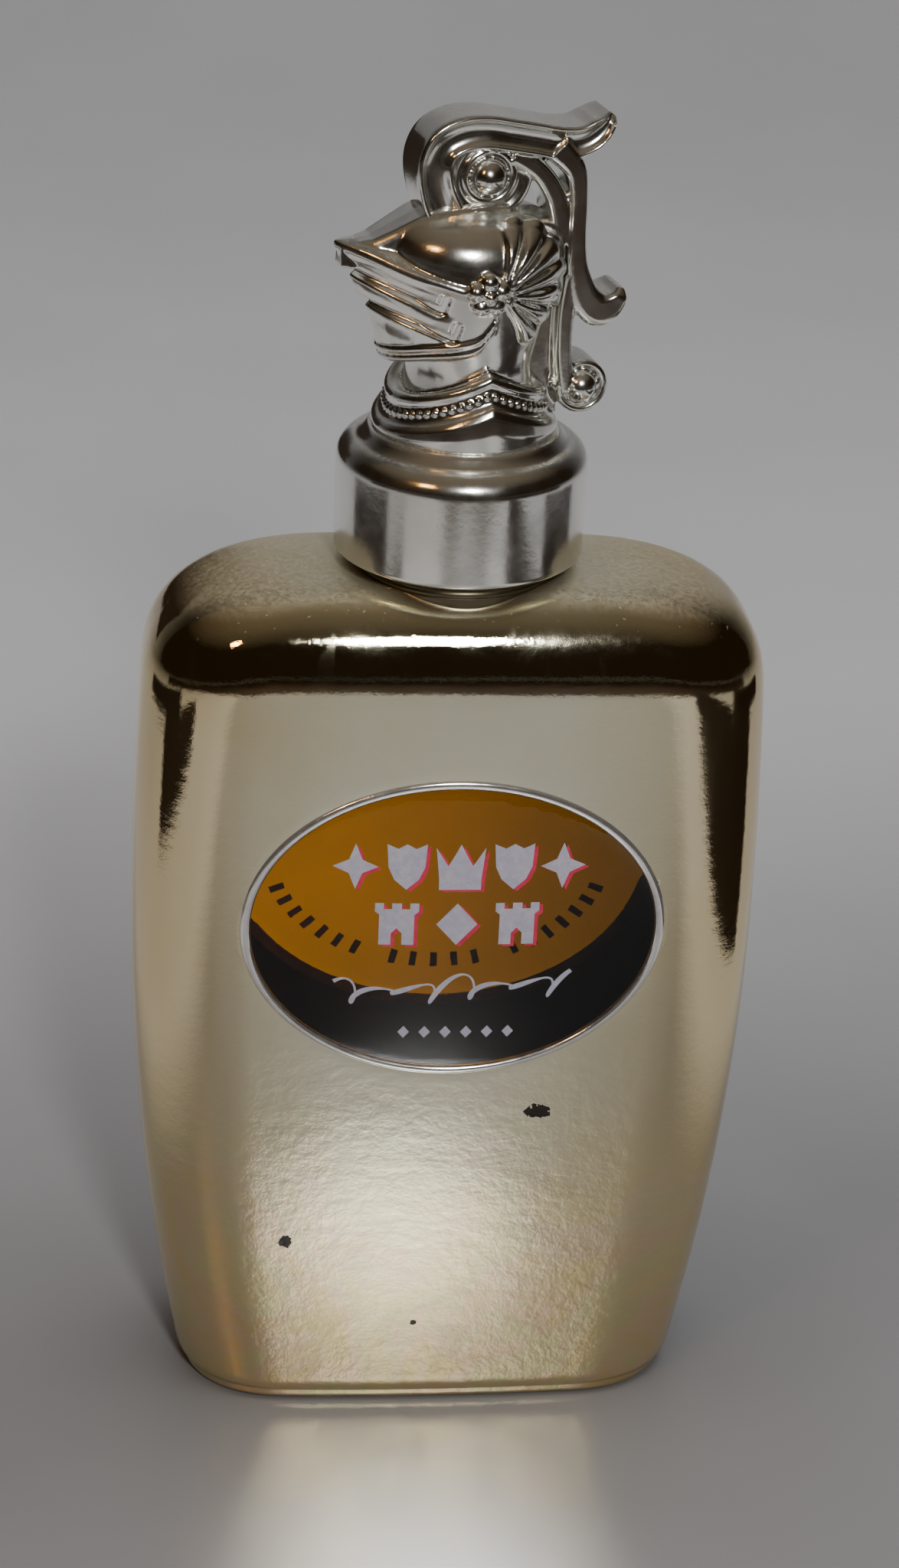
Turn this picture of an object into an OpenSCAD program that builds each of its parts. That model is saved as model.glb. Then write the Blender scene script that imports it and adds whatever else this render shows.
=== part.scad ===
// Aftershave decanter: a mirror-gold glass flask with an oval window front and back,
// and a silvered screw cap that carries a knight's helmet with a scrolled plume.
// The base stands on Z = 0, the front faces -Y and the neck is on the Z axis.

/* [Flask] */
// Height of the flask from the base to the foot of the neck
flask_h = 135; // [125:1:145]
// Width of the flask at its widest level
flask_w = 93.6; // [86:0.2:100]
// Width of the flask at the base
base_w = 77.8; // [70:0.2:84]
// Width that the sides would reach at the top, before the shoulders round in
shoulder_w = 88.8; // [84:0.2:92]
// Depth of the flask, front to back, at the shoulders
flask_d = 38.8; // [35:0.2:42]
// Depth of the flask at the base
base_d = 37; // [34:0.2:38]
// Thickness of the glass walls
glass_t = 4; // [3:0.1:5]
// Thickness of the glass under the lotion
floor_t = 6; // [5:0.5:9]
// Level of the lotion above the base
fill_z = 122; // [100:1:125]

/* [Oval windows] */
// Half width of the clear oval
oval_a = 29.6; // [26:0.1:31]
// Half height of the clear oval
oval_b = 22.7; // [20:0.1:24]
// Height of the middle of the oval
oval_z = 84.6; // [80:0.1:90]
// How far the clear oval stands proud of the face
oval_proud = 1.3; // [0.8:0.1:1.6]
// Width of the bright bezel round the oval
bezel_w = 1.6; // [1:0.1:2]

/* [Neck and screw closure] */
// Radius of the glass neck under its thread
neck_r = 12.6; // [12:0.1:12.8]
// Radius over the neck's thread
thread_r = 13.8; // [13.6:0.1:13.8]
// Height of the lip of the neck
lip_z = 146; // [145.5:0.1:146]
// Radius of the bore of the neck
bore_r = 7.5; // [7:0.1:8]
// Rise of the thread in one turn
pitch = 4.233; // [4:0.001:4.4]
// Radius of the pouring hole in the plug
orifice_r = 2.2; // [1.5:0.1:3]

/* [Cap] */
// Outer radius of the cap's skirt
cap_r = 18; // [17.6:0.1:18.4]
// Height of the open rim of the skirt
rim_z = 137.8; // [137.4:0.1:138]
// Turn of the helmet towards the front when the cap is tight
cap_turn = 12; // [-30:1:30]
// Thickness of the plume from side to side
plume_t = 8.4; // [7:0.1:9]

/* [Hidden] */
$fn = 96;

GOLD = [0.80, 0.72, 0.48];
SILVER = [0.78, 0.77, 0.74];

widest_u = 0.58;      // share of the height where the flask is widest
corner_r = 13;        // vertical corners between the faces and the sides
face_crown = 1.4;     // how far the middle of a face stands out from its edges
side_crown = 0.9;     // the same on the sides
shoulder_x = 24;      // width taken up by each rounded shoulder
shoulder_z = 18;      // height taken up by each rounded shoulder
shoulder_p = 2.7;     // squareness of the shoulder curve
top_round = 9.4;      // depth taken up by the rounding from each face on to the top
top_drop = 14;        // height taken up by the same rounding
foot_h = 1.9;         // band of the foot under the heel groove
foot_in = 0.7;        // how far the foot is set in
foot_round = 1.2;     // rounding under the foot
heel_h = 3.4;         // rounding of the wall into the heel groove
plating_t = 0.1;
pushup = 1;           // hollow under the base
lotion_gap = 0.15;    // kept between the lotion and the glass

insert_r = 15.8;      // closure insert, glued into the skirt
insert_in_r = 14.1;
insert_z = [138.6, 149.5];
insert_roof_z = 148;
plug_flange_t = 0.8;
seal_gap = 0.1;
seal_t = 1;

// ---------- levels and outlines of the flask ----------

// Half width of the side line at level z, before the shoulders round in
function side_line(z) = let (u = z / flask_h, end_w = u < widest_u ? base_w : shoulder_w,
    span = u < widest_u ? widest_u : 1 - widest_u)
    flask_w / 2 - (flask_w - end_w) / 2 * pow((u - widest_u) / span, 2);

// Share of the rounding left at level z within the top h
function rise(z, h) = max(0, min(1, (z - (flask_h - h)) / h));

function heel_inset(z) = z < foot_h
    ? foot_in + foot_round - sqrt(pow(foot_round, 2) - pow(max(0, foot_round - z), 2))
    : z < foot_h + heel_h ? foot_in * pow(1 - (z - foot_h) / heel_h, 3) : 0;

function level_w(z) = side_line(z) - heel_inset(z)
    - shoulder_x * (1 - pow(1 - pow(rise(z, shoulder_z), shoulder_p), 1 / shoulder_p));
function level_d(z) = base_d / 2 + (flask_d - base_d) / 2 * z / flask_h - heel_inset(z)
    - top_round * (1 - sqrt(1 - pow(rise(z, top_drop), 2)));

// Half of a rounded rectangle, counter-clockwise from the +X side
function half_loop(w, d, r, nc = 6, nf = 8, ns = 3) = concat(
    [for (i = [0:nc]) [w - r + r * cos(90 * i / nc), d - r + r * sin(90 * i / nc)]],
    [for (i = [1:nf - 1]) [(w - r) * (1 - 2 * i / nf), d]],
    [for (i = [0:nc]) [-(w - r) - r * sin(90 * i / nc), d - r + r * cos(90 * i / nc)]],
    [for (i = [1:ns - 1]) [-w, (d - r) * (1 - 2 * i / ns)]]);

function crowned(p, w, d) = [p.x - side_crown * sign(p.x) * pow(p.y / d, 2) * abs(p.x) / w,
                             p.y - face_crown * sign(p.y) * pow(p.x / w, 2) * abs(p.y) / d];

function level_loop(w, d) = let (h = half_loop(w, d, min(corner_r, d * 0.72)))
    [for (p = concat(h, [for (q = h) -q])) crowned(p, w, d)];

// The levels of the outside, close together at the foot and in the shoulders
LEVELS = concat([0, 0.4, foot_round, foot_h, foot_h + 0.5, foot_h + heel_h / 2],
    [for (i = [0:9]) foot_h + heel_h + (flask_h - shoulder_z - foot_h - heel_h) * i / 9],
    [for (i = [1:11]) flask_h - shoulder_z + shoulder_z * sin(90 * i / 11)]);

// The outside, moved out by off
function outside(off) = [for (z = LEVELS) let (l = level_loop(level_w(z) + off, level_d(z) + off))
    [for (p = l) [p.x, p.y, z == flask_h ? z + off : z]]];

// The inside, with its walls moved in by gap
inner_top = flask_h - glass_t;
function inner_share(z) = (z - floor_t) / (inner_top - floor_t) * flask_h;
function inside(gap) = [for (z = [for (i = [0:20]) floor_t + (inner_top - floor_t)
        * (1 - cos(180 * i / 20)) / 2])
    let (s = inner_share(z), low = max(0, 1 - (z - floor_t) / 7), r = 6 * (1 - sqrt(1 - low * low)),
        l = level_loop(level_w(s) - glass_t - gap - r, level_d(s) - glass_t - gap - r))
    [for (p = l) [p.x, p.y, z]]];

// Solid through a stack of loops that have the same number of points
module loft(rings) {
    n = len(rings[0]);
    m = len(rings);
    polyhedron(points = [for (ring = rings) each ring],
        faces = concat([[for (j = [0:n - 1]) j]], [[for (j = [n - 1:-1:0]) (m - 1) * n + j]],
            [for (i = [0:m - 2]) for (j = [0:n - 1]) let (k = (j + 1) % n)
                each [[i * n + j, (i + 1) * n + j, (i + 1) * n + k],
                      [i * n + j, (i + 1) * n + k, i * n + k]]]));
}

// Oval prism that stands in the X-Z plane, from y0 to y1
module oval_prism(a, b, y0, y1) {
    translate([0, y1, oval_z]) rotate([90, 0, 0]) linear_extrude(y1 - y0)
        polygon([for (t = [0:3.75:359]) [a * cos(t), b * sin(t)]]);
}

// Everything between the planes of the two domed ovals
dome_r = 230;
module domed_ovals() {
    for (side = [-1, 1]) intersection() {
        oval_prism(oval_a, oval_b, side < 0 ? -30 : 12, side < 0 ? -12 : 30);
        translate([0, side * (flask_d / 2 + oval_proud - dome_r), oval_z]) sphere(dome_r, $fn = 300);
    }
}

// Helical ridge: root and crest radii, their widths, first and last angle, height at angle 0
module thread(root, crest, root_w, crest_w, a0, a1, z0) {
    steps = ceil((a1 - a0) / 10);
    run_out = 25;
    function ring(i) = let (a = a0 + (a1 - a0) * i / steps, z = z0 + pitch * a / 360,
            s = min(1, min(a - a0, a1 - a) / run_out), c = root + (crest - root) * max(0.06, s))
        [for (q = [[root, -root_w / 2], [c, -crest_w / 2], [c, crest_w / 2], [root, root_w / 2]])
            [q[0] * cos(a), q[0] * sin(a), z + q[1]]];
    rings = [for (i = [0:steps]) ring(i)];
    flip = crest > root;
    faces = concat([[0, 1, 2, 3]], [[for (j = [3:-1:0]) steps * 4 + j]],
        [for (i = [0:steps - 1]) for (j = [0:3]) let (k = (j + 1) % 4)
            each [[i * 4 + j, (i + 1) * 4 + j, (i + 1) * 4 + k],
                  [i * 4 + j, (i + 1) * 4 + k, i * 4 + k]]]);
    polyhedron(points = [for (r = rings) each r],
        faces = flip ? [for (f = faces) [for (j = [len(f) - 1:-1:0]) f[j]]] : faces);
}

// ---------- flask and what it holds ----------

module glass_flask() color([0.85, 0.9, 0.88, 0.5]) difference() {
    union() {
        loft(outside(0));
        domed_ovals();
        cylinder(r = neck_r, h = lip_z);
        // transfer bead at the foot of the neck
        translate([0, 0, flask_h - 1]) cylinder(r = neck_r + 2, h = 2.4);
        thread(neck_r - 0.3, thread_r, 2.4, 1.2, 0, 396, 140.2);
    }
    loft(inside(0));
    translate([0, 0, inner_top - 2]) cylinder(r = bore_r, h = 30);
    translate([0, 0, -1]) linear_extrude(1 + pushup)
        polygon([for (t = [0:7.5:359]) [28 * cos(t), 9.5 * sin(t)]]);
}

module gold_plating() color(GOLD) difference() {
    intersection() {
        loft(outside(plating_t));
        translate([-60, -60, 0.3]) cube([120, 120, flask_h + 10]);
    }
    loft(outside(0));
    translate([0, 0, flask_h - 3]) cylinder(r = neck_r + 2, h = 10);
    oval_prism(oval_a + 0.1 + bezel_w, oval_b + 0.1 + bezel_w, -40, 40);
}

module bezel(side) {
    y0 = flask_d / 2 - 2.6;
    y1 = flask_d / 2 + oval_proud + 0.2;
    difference() {
        intersection() {
            oval_prism(oval_a + 0.1 + bezel_w, oval_b + 0.1 + bezel_w,
                side < 0 ? -y1 : y0, side < 0 ? -y0 : y1);
            // the bezel follows the crown of the face
            translate([0, side * (y1 - dome_r), oval_z]) sphere(dome_r, $fn = 300);
        }
        oval_prism(oval_a + 0.1, oval_b + 0.1, -60, 60);
        loft(outside(0));
    }
}
module front_bezel() color(SILVER) bezel(-1);
module back_bezel() color(SILVER) bezel(1);

module lotion() color([0.72, 0.42, 0.06, 0.8]) intersection() {
    loft(inside(lotion_gap));
    translate([-60, -60, floor_t + lotion_gap]) cube([120, 120, fill_z - floor_t - lotion_gap]);
}

module pour_plug() color([0.93, 0.93, 0.9]) rotate_extrude() polygon([
    [orifice_r, lip_z - 12], [bore_r, lip_z - 12], [bore_r, lip_z], [10.5, lip_z],
    [10.5, lip_z + plug_flange_t], [bore_r - 1.2, lip_z + plug_flange_t],
    [bore_r - 1.2, lip_z - 10.8], [orifice_r, lip_z - 10.8]]);

// ---------- screw closure and cap ----------

seal_z = lip_z + plug_flange_t + seal_gap;
module seal_disc() color([0.9, 0.88, 0.8])
    translate([0, 0, seal_z]) cylinder(r = insert_in_r - 0.4, h = seal_t);

module closure_insert() color([0.9, 0.9, 0.9]) rotate(cap_turn) {
    difference() {
        translate([0, 0, insert_z[0]]) cylinder(r = insert_r, h = insert_z[1] - insert_z[0]);
        translate([0, 0, insert_z[0] - 1]) cylinder(r = insert_in_r, h = insert_roof_z - insert_z[0] + 1);
    }
    // rides under the neck's thread; the cap's turn is taken off so that it stays in mesh
    rotate(-cap_turn) thread(insert_in_r + 0.3, neck_r + 0.45, 1.9, 0.9, 90, 440, 140.2 - 1.6);
}

// Outside of the skirt, its round shoulder and the seat of the helmet
shoulder_r = 3.4;
seat_z = 156;
cap_shoulder_z = 151;
CAP_OUTLINE = concat([[cap_r, rim_z + 0.3], [cap_r, cap_shoulder_z]],
    [for (t = [10:10:70]) [cap_r - shoulder_r + shoulder_r * cos(t), cap_shoulder_z + shoulder_r * sin(t)]],
    [[14.6, 154.9], [13.5, seat_z], [9, seat_z]]);

module cap_shell() color(SILVER) rotate(cap_turn) rotate_extrude() polygon(concat(
    [[cap_r - 0.3, rim_z]], CAP_OUTLINE,
    [[9, 155], [13, 154], [14.5, 152], [14.5, insert_z[1]], [insert_r, insert_z[1]], [insert_r, rim_z + 0.3],
     [insert_r + 0.4, rim_z]]));

// Helmet levels: height, reach to the front, reach to the back, half width, bluntness of the front
HELMET = [[seat_z, 12.8, 12.9, 13, 2], [158.5, 12, 12, 12.9, 2], [161.5, 10.4, 10.4, 12.4, 2],
    [164, 9.2, 9.4, 11.4, 2], [166.3, 8.8, 9, 9.9, 2], [166.6, 12.6, 9.1, 10.1, 1.6],
    [170, 13.6, 9.8, 10.7, 1.55], [174, 15, 11, 11.3, 1.5], [178, 17, 12.6, 11.7, 1.45],
    [182, 19, 13.4, 11.6, 1.35], [183.6, 19.7, 13.1, 11.2, 1.3], [184.5, 15, 12.4, 10.6, 1.6],
    [186.6, 11, 10.2, 8.2, 1.9], [188, 6.8, 7, 5, 2], [188.6, 2.5, 3, 2, 2]];
function knot(z, col) = lookup(z, [for (h = HELMET) [h[0], h[col]]]);
function helmet_ring(z, n = 36) = [for (i = [0:n - 1]) let (t = 360 * i / n, c = cos(t), s = sin(t),
        e = c > 0 ? 2 : knot(z, 4), reach = c > 0 ? knot(z, 2) : knot(z, 1))
    [reach * sign(c) * pow(abs(c), 2 / e), knot(z, 3) * sign(s) * pow(abs(s), 2 / e), z]];
function between(a, b, n) = [for (i = [0:n - 1]) a + (b - a) * i / n];
HELMET_Z = concat([for (i = [0:len(HELMET) - 2]) each between(HELMET[i][0], HELMET[i + 1][0],
    HELMET[i + 1][0] - HELMET[i][0] > 2 ? 2 : 1)], [HELMET[len(HELMET) - 1][0]]);

module helmet_body() loft([for (z = HELMET_Z) helmet_ring(z)]);

// Five petals round a button, on the pivot of the visor
pivot = [-1.2, 178.6];
module rosette() {
    linear_extrude(2.6) polygon([for (t = [0:9:359]) (2 + 1.1 * abs(cos(2.5 * t))) * [cos(t), sin(t)]]);
    translate([0, 0, 2]) linear_extrude(1.1) polygon([for (t = [0:15:359]) 1.1 * [cos(t), sin(t)]]);
}

module helmet() color(SILVER) rotate(cap_turn) difference() {
    union() {
        helmet_body();
        for (side = [-1, 1]) translate([pivot.x, side * 10.4, pivot.y]) rotate([-90 * side, 0, 0]) rosette();
    }
    // moulding core that leaves the helmet hollow
    translate([0, 0, seat_z - 1]) cylinder(r = 6.6, h = 18.3);
}

// ---------- plume ----------

// Catmull-Rom curve through [x, z, width] knots
function curve_point(a, b, c, d, t) = 0.5 * (2 * b + (c - a) * t + (2 * a - 5 * b + 4 * c - d) * t * t
    + (3 * b - a - 3 * c + d) * t * t * t);
function curve(k, m = 4) = let (e = len(k) - 1) concat([for (i = [0:e - 1]) for (j = [0:m - 1])
    curve_point(k[max(0, i - 1)], k[i], k[i + 1], k[min(e, i + 2)], j / m)], [k[e]]);
function side_point(c, i, s) = let (a = c[max(0, i - 1)], b = c[min(len(c) - 1, i + 1)],
    d = [b.x - a.x, b.y - a.y], n = [-d.y, d.x] / norm(d)) [c[i].x, c[i].y] + n * s * c[i].z / 2;

// Ribbon along a curve, as wide at each knot as the knot says
module ribbon(knots) {
    c = curve(knots);
    last = len(c) - 1;
    polygon(concat([for (i = [0:last]) side_point(c, i, 1)], [for (i = [last:-1:0]) side_point(c, i, -1)]));
}

CREST = [[-4.6, 186.5, 5.4], [-6.3, 190.4, 5.2], [-6.9, 194.4, 5], [-5.6, 197.3, 5], [-2.8, 198.7, 4.9],
    [0.4, 198.9, 4.7], [3.6, 198.4, 4.6], [7.4, 197.7, 4.6], [11.2, 197, 4.6], [14.6, 197.3, 4.2],
    [17, 198.8, 3.4], [18.5, 200.7, 1.2]];
TAIL = [[10.6, 196.2, 4], [13.3, 193.2, 3.2], [14.1, 189, 2.6], [14.2, 184, 2.6], [14.4, 180, 3],
    [15, 177.2, 3.6], [16, 174.6, 4.4], [17.8, 172.9, 4.8], [19.6, 173.2, 4.1], [20.9, 174.4, 2.7],
    [21.5, 175.8, 1]];
LEAF = [[4.6, 195.6, 3], [8.4, 193, 2.9], [10.8, 189.6, 3], [11.8, 186.2, 3], [12.4, 182.4, 2.6]];
LOWER_TAIL = [[14, 178, 2.4], [13.4, 173, 2.4], [13.3, 168, 2.3], [13.6, 164, 2.4], [14.2, 161, 2.4]];
SCROLL = [1, 192.6];       // middle of the scroll on the crown
LOW_SCROLL = [16.2, 161.7]; // middle of the scroll at the nape

module plume_outline() {
    for (path = [CREST, TAIL, LEAF, LOWER_TAIL]) ribbon(path);
    translate(SCROLL) circle(6.3);
    translate(LOW_SCROLL) circle(3.9);
}

module plume() color(SILVER) rotate(cap_turn) difference() {
    union() {
        rotate([90, 0, 0]) linear_extrude(plume_t, center = true) plume_outline();
        for (s = [[SCROLL, 2.6], [LOW_SCROLL, 2.3]]) for (side = [-1, 1])
            translate([s[0].x, side * (plume_t / 2 - 1.2), s[0].y]) sphere(s[1]);
        // thin web between the nape and the lower tail
        rotate([90, 0, 0]) linear_extrude(1.6, center = true)
            polygon([[8, 158], [13.4, 157.2], [13.4, 173], [8, 173]]);
    }
    helmet_body();
}

glass_flask();
gold_plating();
front_bezel();
back_bezel();
lotion();
pour_plug();
seal_disc();
closure_insert();
cap_shell();
helmet();
plume();
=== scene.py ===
from math import atan2, copysign, cos, degrees, hypot, pi, radians, sin, sqrt

import bmesh
import bpy
from mathutils import Matrix, Vector


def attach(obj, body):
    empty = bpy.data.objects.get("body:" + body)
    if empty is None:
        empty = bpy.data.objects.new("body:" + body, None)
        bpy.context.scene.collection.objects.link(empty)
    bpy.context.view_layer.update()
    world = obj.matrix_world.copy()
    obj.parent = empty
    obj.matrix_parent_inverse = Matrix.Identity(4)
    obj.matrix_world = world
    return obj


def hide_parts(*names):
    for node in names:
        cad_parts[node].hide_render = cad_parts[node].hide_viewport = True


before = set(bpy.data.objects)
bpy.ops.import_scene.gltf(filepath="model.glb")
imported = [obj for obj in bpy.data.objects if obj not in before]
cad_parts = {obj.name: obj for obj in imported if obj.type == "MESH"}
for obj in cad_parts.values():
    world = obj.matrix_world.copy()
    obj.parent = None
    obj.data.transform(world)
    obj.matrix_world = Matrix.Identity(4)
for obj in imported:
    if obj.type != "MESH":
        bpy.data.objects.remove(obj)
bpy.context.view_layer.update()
MM = 0.001


# ---------------------------------------------------------------- glass flask
# Pressed clear glass, 4 mm thick, with wide round shoulders and a foot narrower than the waist.
# A domed oval stands proud of the front and of the back; both stay clear under the gold.

FLASK_HEIGHT = 135
FLASK_WIDTH, BASE_WIDTH, SHOULDER_WIDTH = 93.6, 77.8, 88.8
FLASK_DEPTH, BASE_DEPTH = 38.8, 37.0
WIDEST_AT = 0.58  # share of the height
GLASS, FLOOR = 4.0, 6.0
ON_A_FACE = 12  # anything further out in Y than this is on the front or the back
CORNER, CORNER_POWER = 16.0, 2.4
FACE_CROWN, SIDE_CROWN = 1.4, 0.9
SHOULDER_IN, SHOULDER_DOWN, SHOULDER_POWER = 24.0, 18.0, 2.7
TOP_ROUND, TOP_DROP = 9.4, 14.0
FOOT, FOOT_IN, FOOT_ROUND, HEEL = 1.9, 0.7, 1.2, 3.4
OVAL_A, OVAL_B, OVAL_Z = 29.6, 22.7, 84.6
DOME_RADIUS, DOME_PROUD = 230.0, 1.3
NECK, LIP = 12.6, 146.0


def rise(z, height):
    """Share of a rounding that starts that far below the top of the flask."""
    return max(0.0, min(1.0, (z - (FLASK_HEIGHT - height)) / height))


def heel_inset(z):
    if z < FOOT:
        under = max(0.0, FOOT_ROUND - z)
        return FOOT_IN + FOOT_ROUND - sqrt(FOOT_ROUND**2 - under**2)
    return FOOT_IN * (1 - (z - FOOT) / HEEL) ** 3 if z < FOOT + HEEL else 0.0


def half_width(z):
    share = z / FLASK_HEIGHT
    end, span = (BASE_WIDTH, WIDEST_AT) if share < WIDEST_AT else (SHOULDER_WIDTH, 1 - WIDEST_AT)
    side = FLASK_WIDTH / 2 - (FLASK_WIDTH - end) / 2 * ((share - WIDEST_AT) / span) ** 2
    bend = 1 - (1 - rise(z, SHOULDER_DOWN) ** SHOULDER_POWER) ** (1 / SHOULDER_POWER)
    return side - heel_inset(z) - SHOULDER_IN * bend


def half_depth(z):
    straight = BASE_DEPTH / 2 + (FLASK_DEPTH - BASE_DEPTH) / 2 * z / FLASK_HEIGHT
    return straight - heel_inset(z) - TOP_ROUND * (1 - sqrt(1 - rise(z, TOP_DROP) ** 2))


def face_depth(x, z):
    """How far the front or back face stands from the middle plane."""
    return half_depth(z) - FACE_CROWN * (x / half_width(z)) ** 2


def dome_depth(x, z):
    return FLASK_DEPTH / 2 + DOME_PROUD - DOME_RADIUS + sqrt(DOME_RADIUS**2 - x * x - (z - OVAL_Z) ** 2)


def oval_share(x, z, grow=0.0):
    """1 on the oval's edge, less inside it."""
    return hypot(x / (OVAL_A + grow), (z - OVAL_Z) / (OVAL_B + grow))


def level_loop(width, depth, on_corner=14, on_face=64, on_side=12):
    """One level of the flask: a rounded rectangle with crowned faces, counter-clockwise from +X."""
    r = min(CORNER, depth * 0.84)
    corner = []
    for i in range(on_corner + 1):
        a = pi / 2 * i / on_corner
        corner.append((abs(cos(a)) ** (2 / CORNER_POWER), sin(a) ** (2 / CORNER_POWER)))
    half = [(width - r + r * along, depth - r + r * across) for along, across in corner]
    half += [((width - r) * (1 - 2 * i / on_face), depth) for i in range(1, on_face)]
    half += [(-(width - r) - r * across, depth - r + r * along) for along, across in corner]
    half += [(-width, (depth - r) * (1 - 2 * i / on_side)) for i in range(1, on_side)]
    loop = []
    for x, y in half + [(-x, -y) for x, y in half]:
        pull_x = SIDE_CROWN * copysign((y / depth) ** 2, x) * abs(x) / width
        pull_y = FACE_CROWN * copysign((x / width) ** 2, y) * abs(y) / depth
        loop.append((x - pull_x, y - pull_y))
    return loop


def spread(start, stop, count):
    return [start + (stop - start) * i / count for i in range(count)]


LEVELS = (
    spread(0, FOOT_ROUND, 5)
    + spread(FOOT_ROUND, FOOT, 3)
    + spread(FOOT, FOOT + HEEL, 9)
    + spread(FOOT + HEEL, FLASK_HEIGHT - SHOULDER_DOWN, 110)
    + [FLASK_HEIGHT - SHOULDER_DOWN * (1 - sin(pi / 2 * i / 34)) for i in range(35)]
)


def outside(off=0.0, levels=LEVELS):
    rings = []
    for z in levels:
        lift = off if z == FLASK_HEIGHT else 0.0
        rings.append([(x, y, z + lift) for x, y in level_loop(half_width(z) + off, half_depth(z) + off)])
    return rings


def inside(gap=0.0, top=FLASK_HEIGHT - GLASS):
    """The cavity, moved in by gap; a negative gap reaches into the glass."""
    rings = []
    for i in range(49):
        z = FLOOR + gap + (top - FLOOR - gap) * (1 - cos(pi * i / 48)) / 2
        s = max(0.0, (z - FLOOR) / (FLASK_HEIGHT - GLASS - FLOOR) * FLASK_HEIGHT)
        low = min(1.0, max(0.0, 1 - (z - FLOOR) / 7))
        inset = GLASS + gap + 6 * (1 - sqrt(1 - low * low))
        rings.append([(x, y, z) for x, y in level_loop(half_width(s) - inset, half_depth(s) - inset)])
    return rings


def loft(rings, closed_ends=True):
    """Points and faces through a stack of loops with equal counts, bottom to top."""
    n = len(rings[0])
    points = [p for ring in rings for p in ring]
    faces = []
    for i in range(len(rings) - 1):
        for j in range(n):
            k = (j + 1) % n
            faces.append((i * n + j, i * n + k, (i + 1) * n + k, (i + 1) * n + j))
    if closed_ends:
        faces.append(tuple(range(n))[::-1])
        faces.append(tuple((len(rings) - 1) * n + j for j in range(n)))
    return points, faces


def around(count):
    """The angle, cosine and sine of each step of a full turn."""
    return [(a, cos(a), sin(a)) for a in [2 * pi * i / count for i in range(count)]]


def lathe(outline, segments=128):
    """Points and faces of a closed outline of (radius, height) turned about the neck's axis."""
    points, faces = [], []
    count = len(outline)
    for _, c, s in around(segments):
        points += [(r * c, r * s, z) for r, z in outline]
    for i in range(segments):
        k = (i + 1) % segments
        for j in range(count):
            m = (j + 1) % count
            faces.append((i * count + j, k * count + j, k * count + m, i * count + m))
    return points, faces


def mesh_piece(name, *parts):
    """One object from (points, faces) parts given in millimetres."""
    points, faces = [], []
    for part_points, part_faces in parts:
        start = len(points)
        points += part_points
        faces += [tuple(start + i for i in f) for f in part_faces]
    mesh = bpy.data.meshes.new(name)
    mesh.from_pydata([(x * MM, y * MM, z * MM) for x, y, z in points], [], faces)
    mesh.validate()
    mesh.shade_smooth()
    piece = bpy.data.objects.new(name, mesh)
    bpy.context.scene.collection.objects.link(piece)
    return piece


def face_outwards(piece):
    bm = bmesh.new()
    bm.from_mesh(piece.data)
    bmesh.ops.recalc_face_normals(bm, faces=bm.faces)
    bm.to_mesh(piece.data)
    bm.free()


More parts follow.
